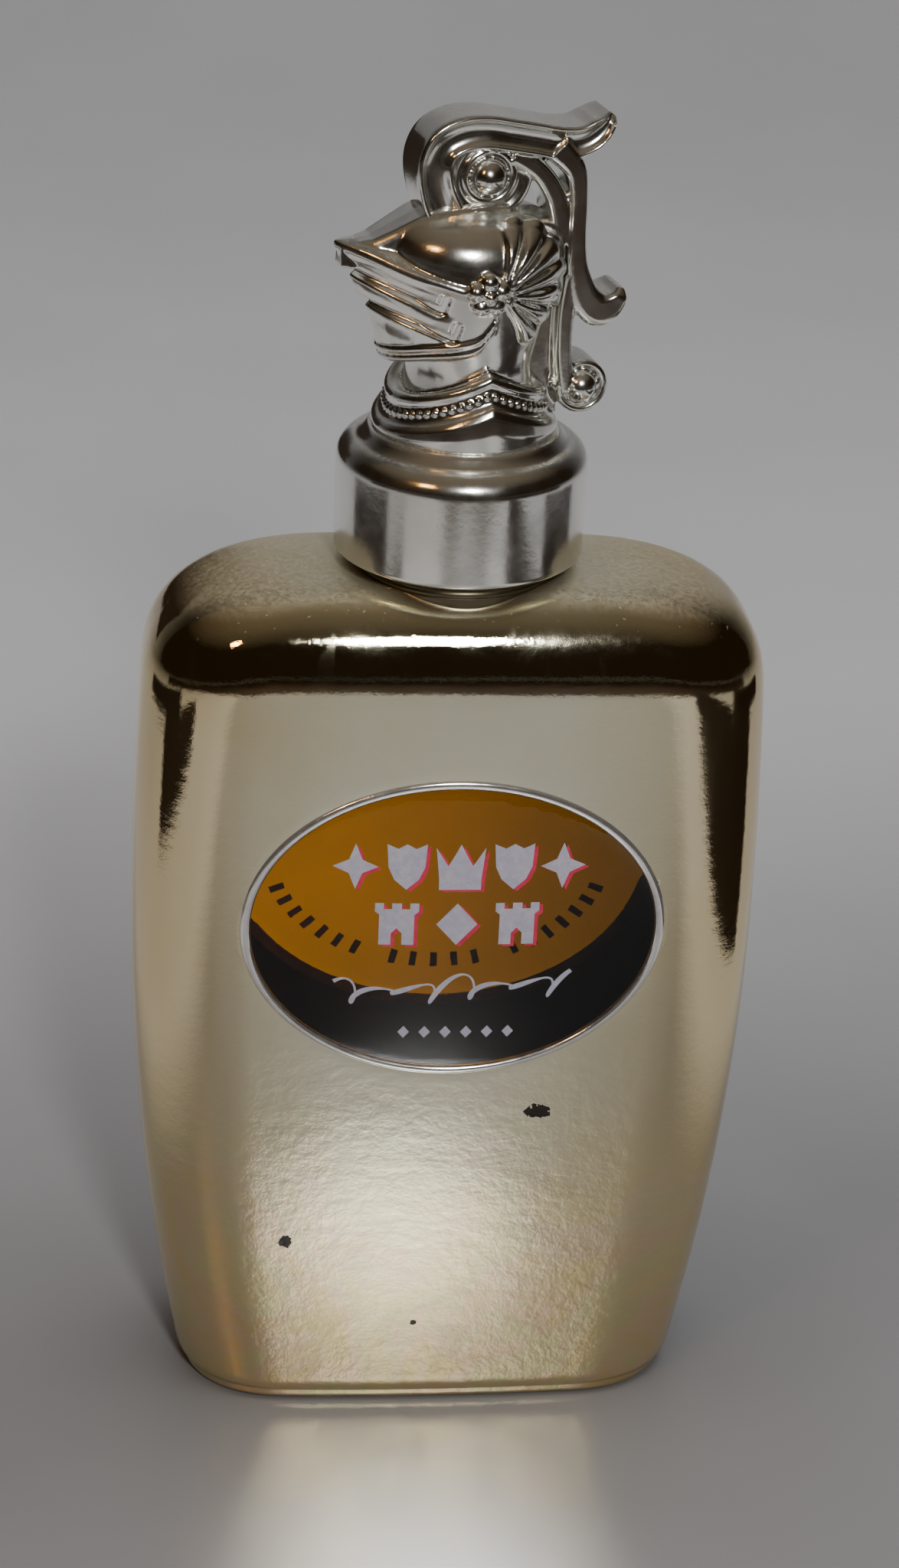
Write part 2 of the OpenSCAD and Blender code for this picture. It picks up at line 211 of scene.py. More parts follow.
class Finish:
    """A material under construction, with short names for the nodes it uses."""

    def __init__(self, name, **sockets):
        self.material = bpy.data.materials.new(name)
        self.material.use_nodes = True
        self.tree = self.material.node_tree
        self.shader = self.tree.nodes["Principled BSDF"]
        for socket, value in sockets.items():
            self.shader.inputs[socket.replace("_", " ")].default_value = value
        self.place = self.node("ShaderNodeTexCoord").outputs["Object"]

    def node(self, kind, **settings):
        made = self.tree.nodes.new(kind)
        for key, value in settings.items():
            setattr(made, key, value)
        return made

    def link(self, source, target):
        self.tree.links.new(source, target)

    def feed(self, node, index, value):
        if isinstance(value, bpy.types.NodeSocket):
            self.link(value, node.inputs[index])
        else:
            node.inputs[index].default_value = value

    def noise(self, scale, detail=3.0, rough=0.5, stretch=None, warp=0.0):
        """Noise with features about 1/scale metres across."""
        made = self.node("ShaderNodeTexNoise")
        for socket, value in (("Scale", scale), ("Detail", detail), ("Roughness", rough), ("Distortion", warp)):
            made.inputs[socket].default_value = value
        if stretch:
            mapping = self.node("ShaderNodeMapping")
            mapping.inputs["Scale"].default_value = stretch
            self.link(self.place, mapping.inputs["Vector"])
            self.link(mapping.outputs[0], made.inputs["Vector"])
        else:
            self.link(self.place, made.inputs["Vector"])
        return made.outputs["Fac"]

    def ramp(self, value, low, high, start=0.0, stop=1.0):
        """Maps value from low..high on to start..stop, smoothly and clamped."""
        made = self.node("ShaderNodeMapRange", interpolation_type="SMOOTHSTEP")
        self.feed(made, 0, value)
        for index, number in zip((1, 2, 3, 4), (low, high, start, stop)):
            made.inputs[index].default_value = number
        return made.outputs[0]

    def calc(self, operation, a, b):
        made = self.node("ShaderNodeMath", operation=operation)
        self.feed(made, 0, a)
        self.feed(made, 1, b)
        return made.outputs[0]

    def times(self, a, b):
        return self.calc("MULTIPLY", a, b)

    def plus(self, a, b):
        return self.calc("ADD", a, b)

    def blend(self, share, a, b):
        """Colour a where share is 0, b where it is 1."""
        made = self.node("ShaderNodeMix", data_type="RGBA")
        for index, value in ((0, share), (6, a), (7, b)):
            self.feed(made, index, value)
        return made.outputs[2]

    def axis(self, name):
        made = self.node("ShaderNodeSeparateXYZ")
        self.link(self.place, made.inputs[0])
        return made.outputs[name]

    def facing_up(self):
        made = self.node("ShaderNodeSeparateXYZ")
        self.link(self.node("ShaderNodeNewGeometry").outputs["Normal"], made.inputs[0])
        return made.outputs["Z"]

    def bump(self, height, distance, strength=1.0, after=None):
        made = self.node("ShaderNodeBump")
        made.inputs["Strength"].default_value = strength
        made.inputs["Distance"].default_value = distance
        self.link(height, made.inputs["Height"])
        if after is not None:
            self.link(after, made.inputs["Normal"])
        self.link(made.outputs[0], self.shader.inputs["Normal"])
        return made.outputs[0]

    def set(self, socket, value):
        self.link(value, self.shader.inputs[socket])

    def mottled(self, scale, detail, low, high, first, second):
        """A base colour that drifts from first to second with noise."""
        self.set("Base Color", self.blend(self.ramp(self.noise(scale, detail), low, high), first, second))


# as shares of the oval: where the step begins, where it starts to fall, and how wide the fall is
STEP_REACH, STEP_TOP, STEP_FALL = 1.06, 1.055, 0.04


def step_on_to_dome(rings):
    """Lifts the faces of the flask on to the two domed ovals, with the step under the bezels."""
    lifted = []
    for ring in rings:
        moved = []
        for x, y, z in ring:
            share = oval_share(x, z)
            if share < STEP_REACH and abs(y) > ON_A_FACE:
                blend = max(0.0, min(1.0, (STEP_TOP - share) / STEP_FALL))
                y += copysign(dome_depth(x, z) - abs(y), y) * blend
            moved.append((x, y, z))
        lifted.append(moved)
    return lifted


def screw_ridge(root, crest, root_width, crest_width, first, last, z0, pitch=4.233, step=6):
    """Helical ridge from angle first to last in degrees, at height z0 where the angle is 0."""
    rings = []
    steps = int((last - first) / step)
    for i in range(steps + 1):
        a = first + (last - first) * i / steps
        fade = min(1.0, min(a - first, last - a) / 25)
        top = root + (crest - root) * max(0.06, fade)
        z = z0 + pitch * a / 360
        c, s = cos(radians(a)), sin(radians(a))
        foot, edge = root_width / 2, crest_width / 2
        section = [(root, -foot), (top, -edge), (top, edge), (root, foot)]
        rings.append([(r * c, r * s, z + dz) for r, dz in section])
    return loft(rings)


def reversed_part(part):
    return part[0], [f[::-1] for f in part[1]]


BORE, THREAD = 7.5, 13.8
THREAD_TURN, THREAD_START = 396, 140.2
NECK_OUTLINE = [
    (BORE, 129.0), (14.4, 134.6), (14.6, 135.4), (14.5, 136.0), (14.1, 136.4), (12.8, 136.5),
    (NECK, 137.0), (NECK, 145.2), (12.3, 145.8), (11.6, LIP), (8.3, LIP), (7.7, 145.6), (BORE, 145.0),
]
glass = Finish("clear_flask_glass", Base_Color=(0.98, 0.99, 0.985, 1), Roughness=0.0, IOR=1.5,
               Transmission_Weight=1.0)
seeds = glass.noise(900, 2)
glass.bump(glass.noise(38, 2), 0.0006, 0.10, after=glass.bump(seeds, 0.00003, 0.15))
glass.set("Roughness", glass.ramp(glass.noise(260, 4), 0.55, 0.85, 0.0, 0.05))

# Where the lotion wets the wall, light passes from one to the other almost unbent. The index is set for
# the look: real lotion is about 1.36 and real glass 1.5.
WETTED_INDEX = 1.02
wetted = Finish("wetted_flask_glass", Roughness=0.0, IOR=WETTED_INDEX, Transmission_Weight=1.0)
wetted.mottled(120, 3, 0.3, 0.8, (0.995, 1.0, 0.995, 1), (0.97, 0.98, 0.97, 1))
LOTION_LEVEL = 122.0

outer_wall = loft(step_on_to_dome(outside()))
inner_wall = reversed_part(loft(inside()))
flask = mesh_piece(
    "clear_glass_flask",
    outer_wall,
    inner_wall,
    lathe(NECK_OUTLINE),
    screw_ridge(NECK - 0.3, THREAD, 2.4, 1.2, 0, THREAD_TURN, THREAD_START),
)
flask.data.materials.append(glass.material)
flask.data.materials.append(wetted.material)
first_inner = len(outer_wall[1])
for face in flask.data.polygons[first_inner:first_inner + len(inner_wall[1])]:
    if face.center.z < LOTION_LEVEL * MM:
        face.material_index = 1
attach(flask, "bottle")
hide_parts("glass_flask")


# --------------------------------------------------------------------- lotion
# Amber aftershave, filled to just under the shoulders. It reaches a hair into the glass so that
# no air gap shows between the two; the glass has bent the light already, so it hardly bends it again.

amber = Finish("amber_lotion", Base_Color=(0.66, 0.27, 0.01, 1), Roughness=0.0, IOR=WETTED_INDEX,
               Transmission_Weight=1.0)
cloud = amber.noise(30, 3, warp=0.6)
# Painted light and shade: the amber is painted bright orange on the left and dark brown on the right, across X.
painted_shade_across = amber.ramp(amber.axis("X"), -0.03, 0.035)
painted_light_and_shade_tint = amber.blend(painted_shade_across, (1.0, 0.38, 0.001, 1), (0.24, 0.10, 0.001, 1))
clouded = amber.ramp(cloud, 0.35, 0.75, 0.0, 0.6)
amber.set("Base Color", amber.blend(clouded, painted_light_and_shade_tint, (0.45, 0.19, 0.001, 1)))

lotion = mesh_piece("amber_lotion", loft(inside(-0.12, LOTION_LEVEL)))
lotion.data.materials.append(amber.material)
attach(lotion, "bottle")
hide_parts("lotion")


# --------------------------------------------------------------- gold plating
# Champagne-gold mirror lacquer over the outside of the flask, with an oval left clear front and
# back. It thins out against each bezel, and it is scratched, hazed and chipped with use. Round the foot of the
# neck, under the cap, it carries a painted shadow.

PLATING = 0.1
BEZEL = 1.6
UNDER_BEZEL = 0.6
EDGE_WIDTH, EDGE_THINNING = 1.5, 0.07
BEAD_FOOT = 14.45
UNDERSIDE = 0.13


def plated(rings):
    """The outside with the two ovals cut away and the lacquer thinned at their edges. It closes on the
    neck's foot at the top and is open under the base."""
    topped = []
    for ring in rings:
        topped.append([])
        for x, y, z in ring:
            away = hypot(x, y)
            grow = max(1.0, BEAD_FOOT / away) if z > FLASK_HEIGHT - 8 else 1.0
            topped[-1].append((x * grow, y * grow, z))
    foot = []
    for x, y, z in topped[-1]:
        away = hypot(x, y)
        foot.append((x * BEAD_FOOT / away, y * BEAD_FOOT / away, z))
    topped.append(foot)
    points, faces = loft(topped, closed_ends=False)
    moved, hole = [], set()
    for i, (x, y, z) in enumerate(points):
        if abs(y) > ON_A_FACE and abs(x) < 40 and abs(z - OVAL_Z) < 32:
            share = oval_share(x, z, BEZEL - UNDER_BEZEL)
            beyond = (share - 1) * OVAL_B
            if share < 1:
                hole.add(i)
                x, z = x / max(share, 0.01), OVAL_Z + (z - OVAL_Z) / max(share, 0.01)
                y = copysign(face_depth(x, z) + PLATING, y)
                beyond = 0
            if beyond < EDGE_WIDTH:
                y -= copysign(EDGE_THINNING * (1 - beyond / EDGE_WIDTH) ** 2, y)
        moved.append((x, y, z))
    return moved, [f for f in faces if not all(i in hole for i in f)]


gold = Finish("champagne_gold_lacquer", Metallic=1.0, IOR=1.45)
haze = gold.noise(16, 4, 0.55, warp=0.8)
low_down = gold.ramp(gold.axis("Z"), 0.075, 0.012)
sides = gold.ramp(gold.calc("ABSOLUTE", gold.axis("X"), 0.0), 0.012, 0.046)
film = gold.node("ShaderNodeValToRGB")
gold.link(gold.noise(34, 3, 0.6, warp=2.2), film.inputs[0])
for stop, colour in zip(film.color_ramp.elements, ((0.76, 0.61, 0.29, 1), (0.80, 0.64, 0.33, 1))):
    stop.color = colour
film.color_ramp.elements[0].position, film.color_ramp.elements[1].position = 0.36, 0.64
for position, colour in ((0.45, (0.80, 0.60, 0.38, 1)), (0.52, (0.72, 0.65, 0.35, 1))):
    film.color_ramp.elements.new(position).color = colour
plain_gold = gold.blend(gold.ramp(haze, 0.4, 0.7), (0.90, 0.89, 0.70, 1), (0.85, 0.80, 0.55, 1))
plain_gold = gold.blend(gold.times(sides, 0.8), plain_gold, (0.74, 0.58, 0.31, 1))
colour = gold.blend(gold.times(low_down, 0.9), plain_gold, film.outputs[0])

grit = gold.ramp(gold.noise(1300, 6, 0.65), 0.30, 0.85, 0.25, 0.8)
dust = gold.times(gold.ramp(gold.facing_up(), 0.72, 0.97), grit)
specks = gold.ramp(gold.noise(1500, 2), 0.70, 0.76)
dust = gold.calc("MAXIMUM", dust, gold.times(specks, gold.ramp(gold.facing_up(), 0.5, 0.9)))
colour = gold.blend(gold.times(dust, 0.45), colour, (0.42, 0.33, 0.26, 1))
from_axis = gold.node("ShaderNodeVectorMath", operation="LENGTH")
flat_place = gold.node("ShaderNodeVectorMath", operation="MULTIPLY")
gold.link(gold.place, flat_place.inputs[0])
flat_place.inputs[1].default_value = (1, 1, 0)
gold.link(flat_place.outputs[0], from_axis.inputs[0])
# Painted shadow: a dark brown ring round the foot of the neck, under the cap's skirt, also made rougher there.
painted_cap_shadow = gold.ramp(from_axis.outputs["Value"], 0.0148, 0.0180, 1.0, 0.0)
painted_cap_shadow = gold.times(painted_cap_shadow, gold.ramp(gold.axis("Z"), 0.1315, 0.1335))
colour = gold.blend(gold.times(painted_cap_shadow, 0.85), colour, (0.10, 0.065, 0.03, 1))


def chipped(place, size, stretch=(1, 1, 1)):
    """1 inside a torn patch round a place on the front, in millimetres."""
    offset = gold.node("ShaderNodeVectorMath", operation="SUBTRACT")
    gold.link(gold.place, offset.inputs[0])
    offset.inputs[1].default_value = [v * MM for v in place]
    scaled = gold.node("ShaderNodeVectorMath", operation="MULTIPLY")
    gold.link(offset.outputs[0], scaled.inputs[0])
    scaled.inputs[1].default_value = stretch
    length = gold.node("ShaderNodeVectorMath", operation="LENGTH")
    gold.link(scaled.outputs[0], length.inputs[0])
    ragged = gold.calc("MULTIPLY_ADD", gold.noise(1100, 2, 0.7), -size * MM * 1.6)
    ragged.node.inputs[2].default_value = size * MM * 1.8
    return gold.calc("LESS_THAN", length.outputs["Value"], ragged)


right_chip = chipped((14.2, -19, 53.2), 1.5, (0.8, 0.4, 1.3))
chips = gold.calc("MAXIMUM", right_chip, chipped((-23.6, -19, 30.2), 1.1, (1, 0.4, 1.1)))
chips = gold.calc("MAXIMUM", chips, chipped((-3.3, -19, 15.1), 0.5, (1, 0.4, 1)))
gold.set("Base Color", gold.blend(chips, colour, (0.012, 0.008, 0.006, 1)))
gold.set("Metallic", gold.calc("SUBTRACT", 1.0, gold.calc("MAXIMUM", chips, gold.times(dust, 0.35))))
scratch = gold.ramp(gold.noise(240, 2, 0.4, stretch=(1, 1, 0.06), warp=0.3), 0.62, 0.70)
wear = gold.ramp(gold.noise(90, 5, 0.7, warp=0.5), 0.35, 0.75, 0.025, 0.09)
cloudy = gold.times(gold.ramp(gold.noise(85, 6, 0.75, warp=1.2), 0.42, 0.62), low_down)
rough = gold.plus(wear, gold.times(cloudy, 0.16))
rough = gold.plus(rough, gold.times(dust, 0.2))
rough = gold.plus(rough, gold.ramp(gold.facing_up(), 0.80, 0.99, 0.0, 0.25))
rough = gold.plus(rough, gold.times(painted_cap_shadow, 0.3))
gold.set("Roughness", gold.plus(rough, gold.times(scratch, 0.05)))
waves = gold.times(gold.noise(60, 4, 0.6, stretch=(0.6, 0.6, 1.5)), gold.plus(low_down, 0.35))
peel = gold.bump(waves, 0.0005, 0.30)
grain = gold.times(gold.noise(520, 5, 0.7), gold.plus(low_down, 0.4))
pits = gold.bump(grain, 0.0001, 0.60, after=peel)
gold.bump(chips, 0.0001, 0.8, after=pits)

# the side of the lacquer that lies on the glass, seen through the lotion
primer = Finish("lacquer_underside", Roughness=0.6, Specular_IOR_Level=0.1)
primer.mottled(60, 4, 0.3, 0.8, (0.006, 0.003, 0.004, 1), (0.014, 0.008, 0.010, 1))

gold_levels = [z for z in LEVELS if z > 0.25]
BEAD_SKIN = [
    (BEAD_FOOT, 135.1), (14.75, 135.25), (14.8, 135.5), (14.7, 135.95), (14.2, 136.5), (13.6, 136.62),
    (12.9, 136.62),
]
bead_rings = [[(r * c, r * s, z) for _, c, s in around(128)] for r, z in BEAD_SKIN]
bead_skin = loft(bead_rings, closed_ends=False)
plating = mesh_piece("gold_lacquer_skin", plated(outside(PLATING, gold_levels)), bead_skin)
keep = bmesh.new()
keep.from_mesh(plating.data)
under_skin = bmesh.ops.duplicate(keep, geom=keep.faces[:])["geom"]
under_faces = [g for g in under_skin if isinstance(g, bmesh.types.BMFace)]
keep.normal_update()
for vert in {v for f in under_faces for v in f.verts}:
    vert.co -= vert.normal * UNDERSIDE * MM
for f in under_faces:
    f.material_index = 1
bmesh.ops.reverse_faces(keep, faces=under_faces)
keep.to_mesh(plating.data)
keep.free()
plating.data.shade_smooth()
plating.data.materials.append(gold.material)
plating.data.materials.append(primer.material)
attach(plating, "bottle")
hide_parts("gold_plating")


# --------------------------------------------------------------- oval bezels
# Bright silvered rings laid round the clear ovals, half-round in section, following the crown of
# the face. The back one is the same as the front one.

bright = Finish("bright_bezel", Base_Color=(0.86, 0.86, 0.85, 1), Metallic=0.9, Roughness=0.12)
grime = bright.ramp(bright.noise(600, 5, 0.7), 0.45, 0.75)
stain = bright.times(grime, 0.35)
bright.set("Base Color", bright.blend(stain, (0.87, 0.87, 0.86, 1), (0.50, 0.42, 0.33, 1)))
bright.set("Roughness", bright.ramp(bright.noise(220, 4), 0.3, 0.8, 0.10, 0.26))
bright.bump(bright.noise(500, 3), 0.00006, 0.25)


def bezel_ring(side):
    """Sweeps a half-round section about the oval, between the clear glass and the lacquer."""
    rings = []
    for _, c, s in around(240):
        ring = []
        for j in range(16):
            a = 2 * pi * j / 16
            out = BEZEL / 2 * (1 - cos(a)) + 0.1
            x = (OVAL_A + out) * c
            z = OVAL_Z + (OVAL_B + out) * s
            floor = face_depth(x, z) - 0.5
            crest = dome_depth(OVAL_A * c, OVAL_Z + OVAL_B * s) + 0.16
            arch = max(0.0, sin(a)) ** 0.75
            ring.append((x, side * (floor + (crest - floor) * arch), z))
        rings.append(ring)
    points, faces = loft(rings, closed_ends=False)
    last = len(rings) - 1
    faces += [(last * 16 + j, last * 16 + (j + 1) % 16, (j + 1) % 16, j) for j in range(16)]
    return points, faces


for side, where in ((-1, "front"), (1, "back")):
    ring = mesh_piece(f"bright_{where}_bezel", bezel_ring(side))
    face_outwards(ring)
    ring.data.materials.append(bright.material)
    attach(ring, "bottle")
    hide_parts(f"{where}_bezel")


# ------------------------------------------------------- printing on the ovals
# Screen-printed enamel. The front carries stars, shields, a crown, towers, lozenges and a flourish in
# pale grey, the large ones with a crimson shadow; the back has small dark marks that show through.

INK_LIFT = 0.025


def printed(name, shapes, lift, side, colours, body="bottle"):
    """Flat outlines (x, z) laid on a dome, as one thin printed layer."""
    bm = bmesh.new()
    for shape in shapes:
        verts = [bm.verts.new((x * MM, side * (dome_depth(x, z) + lift) * MM, z * MM)) for x, z in shape]
        bm.faces.new(verts)
    bm.normal_update()
    bmesh.ops.triangulate(bm, faces=bm.faces[:], ngon_method="EAR_CLIP")
    mesh = bpy.data.meshes.new(name)
    bm.to_mesh(mesh)
    bm.free()
    layer = bpy.data.objects.new(name, mesh)
    bpy.context.scene.collection.objects.link(layer)
    ink = Finish(name + "_ink", Roughness=0.45)
    tone = ink.ramp(ink.noise(900, 4, 0.7), 0.3, 0.75)
    ink.set("Base Color", ink.blend(tone, *colours))
    ink.bump(ink.noise(1400, 3), 0.00004, 0.4)
    layer.data.materials.append(ink.material)
    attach(layer, body)


def placed(shape, x, z, width, height):
    return [(x + px * width / 2, z + pz * height / 2) for px, pz in shape]


SHIELD = [
    (-1, 1), (-0.45, 0.8), (0, 1), (0.45, 0.8), (1, 1), (0.92, 0), (0.62, -0.55), (0, -1), (-0.62, -0.55),
    (-0.92, 0),
]
CROWN = [
    (-0.85, -1), (0.85, -1), (0.85, -0.55), (1, 0.85), (0.5, 0.05), (0.28, 0.45), (0, 1), (-0.28, 0.45),
    (-0.5, 0.05), (-1, 0.85), (-0.85, -0.55),
]
TOWER = [
    (-0.8, -1), (-0.25, -1), (-0.25, -0.45), (0, -0.2), (0.25, -0.45), (0.25, -1), (0.8, -1), (0.8, 0.45),
    (1, 0.6), (1, 1), (0.6, 1), (0.6, 0.72), (0.22, 0.72), (0.22, 1), (-0.22, 1), (-0.22, 0.72),
    (-0.6, 0.72), (-0.6, 1), (-1, 1), (-1, 0.6), (-0.8, 0.45),
]
LOZENGE = [(0, 1), (0.75, 0), (0, -1), (-0.75, 0)]
STAR = []
for i in range(8):
    reach = 1 if i % 2 == 0 else 0.42
    STAR.append((sin(pi * i / 4) * reach, cos(pi * i / 4) * reach))


def band(path, widths):
    """Outline of a stroke along a path of (x, z) with a width at each point."""
    left, right = [], []
    for i, (x, z) in enumerate(path):
        ax, az = path[max(0, i - 1)]
        bx, bz = path[min(len(path) - 1, i + 1)]
        length = hypot(bx - ax, bz - az) or 1
        nx, nz = -(bz - az) / length * widths[i] / 2, (bx - ax) / length * widths[i] / 2
        left.append((x + nx, z + nz))
        right.append((x - nx, z - nz))
    return [[left[i], left[i + 1], right[i + 1], right[i]] for i in range(len(path) - 1)]


def flourish():
    """A pen flourish: a running wave that swells on its down strokes."""
    path, widths = [], []
    for i in range(161):
        u = i / 160
        swing = u * 12 * pi
        x = -17.5 + 35 * u + 1.5 * sin(swing)
        z = 74.6 + 2.6 * sin(swing + 0.9) * (0.55 + 0.45 * cos(u * 4 * pi)) + 1.6 * u
        path.append((x, z))
        widths.append(0.32 + 0.55 * max(0.0, cos(swing + 0.9)))
    return band(path, widths)


upper_row = [placed(s, x, 95.6, w, 7.2) for s, x, w in (
    (STAR, -14.8, 6.6), (SHIELD, -7.4, 5.8), (CROWN, 0.4, 7.2), (SHIELD, 8.2, 5.8), (STAR, 15.4, 6.6))]
lower_row = [placed(s, x, 86.4, w, 6.8) for s, x, w in (
    (TOWER, -8.6, 6.4), (LOZENGE, 0.2, 8.0), (TOWER, 9.0, 6.4))]
small_row = [placed(LOZENGE, -6.9 + 3.1 * i, 68.0, 2.3, 2.1) for i in range(6)]
badges = upper_row + lower_row
shadows = [[(x + 0.55, z - 0.35) for x, z in shape] for shape in badges]
printed("front_ornament_shadow", shadows, INK_LIFT, -1, ((0.62, 0.03, 0.09, 1), (0.45, 0.02, 0.06, 1)))
printed("front_ornament", badges + flourish() + small_row, INK_LIFT * 2, -1,
        ((0.36, 0.36, 0.46, 1), (0.46, 0.46, 0.54, 1)))

marks = []
for i in range(21):
    a = radians(200 + 140 * i / 20)
    if i in (7, 13):
        continue
    c, s = cos(a), sin(a)
    x, z = 24.5 * c, OVAL_Z + 17.6 * s
    tall, wide = 1.1, 0.5
    marks.append([(x - wide * s * k + tall * c * m, z + wide * c * k + tall * s * m)
                  for k, m in ((-1, -1), (1, -1), (1, 1), (-1, 1))])
marks += [placed(STAR, -21.5, 92.2, 1.7, 1.7), placed(LOZENGE, -20.6, 96.0, 2.0, 1.4)]
printed("back_marks", marks, INK_LIFT, 1, ((0.02, 0.015, 0.02, 1), (0.05, 0.03, 0.03, 1)))


# ------------------------------------------------------ pouring plug and seal
# A natural polyethylene plug pressed into the bore, and a foam disc that the closure squeezes on it.

PLUG_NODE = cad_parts["pour_plug"]
SEAL_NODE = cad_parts["seal_disc"]
INSERT_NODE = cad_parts["closure_insert"]

plug = Finish("natural_plastic", Roughness=0.35, Subsurface_Weight=0.3, Subsurface_Scale=0.002)
plug.mottled(300, 3, 0.3, 0.8, (0.80, 0.79, 0.73, 1), (0.72, 0.69, 0.60, 1))
plug.bump(plug.noise(900, 3), 0.00004, 0.3)

foam = Finish("seal_foam", Roughness=0.8)
foam.mottled(2200, 3, 0.4, 0.7, (0.80, 0.76, 0.66, 1), (0.55, 0.50, 0.42, 1))
foam.bump(foam.noise(2600, 3), 0.0001, 0.8)

shell = Finish("white_closure_plastic", Roughness=0.38)
shell.mottled(240, 3, 0.3, 0.8, (0.84, 0.84, 0.82, 1), (0.75, 0.74, 0.70, 1))
shell.bump(shell.noise(800, 3), 0.00005, 0.3)

for node, finish in ((PLUG_NODE, plug), (SEAL_NODE, foam), (INSERT_NODE, shell)):
    for material_slot in node.material_slots:
        material_slot.material = finish.material


# ------------------------------------------------------------------ cap shell
# Injection-moulded skirt with a round shoulder, vacuum-silvered, glued over the closure.

CAP_TURN = radians(12)
CAP_RIM, CAP_RADIUS = 137.8, 18.0
CAP_OUTLINE = (
    [(15.8, 149.5), (15.8, CAP_RIM + 0.3), (16.1, CAP_RIM), (17.65, CAP_RIM), (17.9, CAP_RIM + 0.12)]
    + [(CAP_RADIUS, CAP_RIM + 0.4)] + [(CAP_RADIUS, z) for z in (138.6, 140, 143, 146, 149, 150.6)]
    + [(14.6 + 3.4 * cos(t), 151 + 3.4 * sin(t)) for t in map(radians, range(0, 71, 5))]
    + [(15.4, 154.3), (15.05, 154.42), (14.8, 154.62), (14.5, 154.95), (14.1, 155.45), (13.8, 155.85)]
    + [(13.5, 156.0), (9.2, 156.0), (9.0, 155.6), (9.2, 154.9), (13.0, 154.0), (14.5, 152.0), (14.5, 149.6)]
)

silver = Finish("silvered_plastic", Metallic=1.0)
tarnish = silver.noise(70, 5, 0.6, warp=0.7)
warm = silver.blend(silver.ramp(tarnish, 0.35, 0.75), (0.92, 0.93, 0.885, 1), (0.84, 0.835, 0.77, 1))
grit = silver.ramp(silver.noise(1500, 6, 0.7), 0.3, 0.8, 0.2, 0.6)
settled = silver.times(silver.ramp(silver.facing_up(), 0.75, 1.0), grit)
silver.set("Base Color", silver.blend(silver.times(settled, 0.35), warm, (0.38, 0.30, 0.22, 1)))
silver.set("Metallic", silver.ramp(settled, 0.0, 1.0, 1.0, 0.8))
dull = silver.ramp(silver.noise(140, 5, 0.65), 0.3, 0.75, 0.13, 0.22)
silver.set("Roughness", silver.plus(dull, silver.times(settled, 0.2)))
silver.bump(silver.noise(900, 4, 0.6), 0.00005, 0.25, after=silver.bump(silver.noise(160, 3), 0.0003, 0.05))

skirt = mesh_piece("silvered_cap_shell", lathe(CAP_OUTLINE, 192))
face_outwards(skirt)
skirt.data.materials.append(silver.material)
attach(skirt, "cap")
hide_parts("cap_shell")


# --------------------------------------------------------------------- helmet
# A hollow moulding of a closed knight's helmet: gorget with a row of beads, stepped visor with two
# breath slots, rosettes on its pivots and a fluted shell behind them. Silvered like the cap.

# Everything is laid out in the side view: u runs forward from the cap's axis and z up, in
# millimetres, with the width to both sides of the middle plane.


def knots(table, z):
    """Smooth interpolation of a table of (z, values...)."""
    if z <= table[0][0]:
        return table[0][1:]
    for i in range(len(table) - 1):
        if z <= table[i + 1][0]:
            a, b = table[max(0, i - 1)], table[i]
            c, d = table[i + 1], table[min(len(table) - 1, i + 2)]
            t = (z - b[0]) / (c[0] - b[0])
            values = []
            for k in range(1, len(b)):
                m0 = (c[k] - a[k]) / max(1e-6, c[0] - a[0]) * (c[0] - b[0])
                m1 = (d[k] - b[k]) / max(1e-6, d[0] - b[0]) * (c[0] - b[0])
                values.append(
                    (2 * t**3 - 3 * t**2 + 1) * b[k] + (t**3 - 2 * t**2 + t) * m0
                    + (3 * t**2 - 2 * t**3) * c[k] + (t**3 - t**2) * m1
                )
            return values
    return table[-1][1:]


# height, reach to the front, reach to the back, half width
SKULL = [
    (160, 8.8, 9.6, 9.9), (163, 8.7, 9.2, 9.6), (166, 8.8, 9.0, 9.6), (170, 9.9, 9.8, 10.3),
    (174, 11.2, 11.0, 10.9), (178, 12.4, 12.6, 11.3), (181, 12.9, 13.3, 11.3),
    (183.4, 12.9, 13.0, 10.9), (185.2, 12.2, 12.0, 9.9),
    (186.8, 10.4, 10.0, 8.0), (188.0, 7.2, 7.2, 5.2), (188.55, 3.4, 3.6, 2.4), (188.6, 0.4, 0.4, 0.3),
]


def skull_side(u, z):
    """Half width of the skull at a place in the side view."""
    front, back, half = knots(SKULL, z)
    reach = front if u > 0 else back
    return half * sqrt(max(0.0, 1 - (u / reach) ** 2))


def at(u, y, z):
    """From the side view to the cap's own axes, facing -X."""
    return (-u, y, z)


def skull():
    rings = []
    heights = spread(160, 183, 34) + spread(183, 188, 16) + [188, 188.2, 188.4, 188.5, 188.58, 188.6]
    for z in heights:
        front, back, half = knots(SKULL, z)
        ring = []
        for _, c, s in around(120):
            ring.append(at(-(front if c < 0 else back) * c, half * s, z))
        rings.append(ring)
    return loft(rings)


# height, reach to the front, half width, squareness of the front
VISOR = [
    (165.5, 12.0, 9.9, 1.65), (166.6, 12.6, 10.2, 1.62), (170, 13.7, 10.9, 1.58), (173, 14.7, 11.4, 1.55),
    (175, 15.6, 11.7, 1.5), (178, 17.2, 12.0, 1.45), (181, 18.4, 12.1, 1.4), (183, 19.4, 11.9, 1.32),
    (184, 19.8, 11.7, 1.3),
]
VISOR_TOP = [(0, 178.9), (3.4, 179.3), (7, 180.2), (10.5, 181.2), (15.7, 183.0), (19.9, 183.9)]
VISOR_BOTTOM = [
    (-0.5, 173.5), (0.6, 171.6), (1.9, 169.9), (4.5, 168.9), (8.4, 168.0), (12.7, 166.5), (14, 166.2),
]
SLOTS = (((7.1, 175.9), (18.2, 179.9)), ((5.3, 171.9), (16.2, 175.4)))


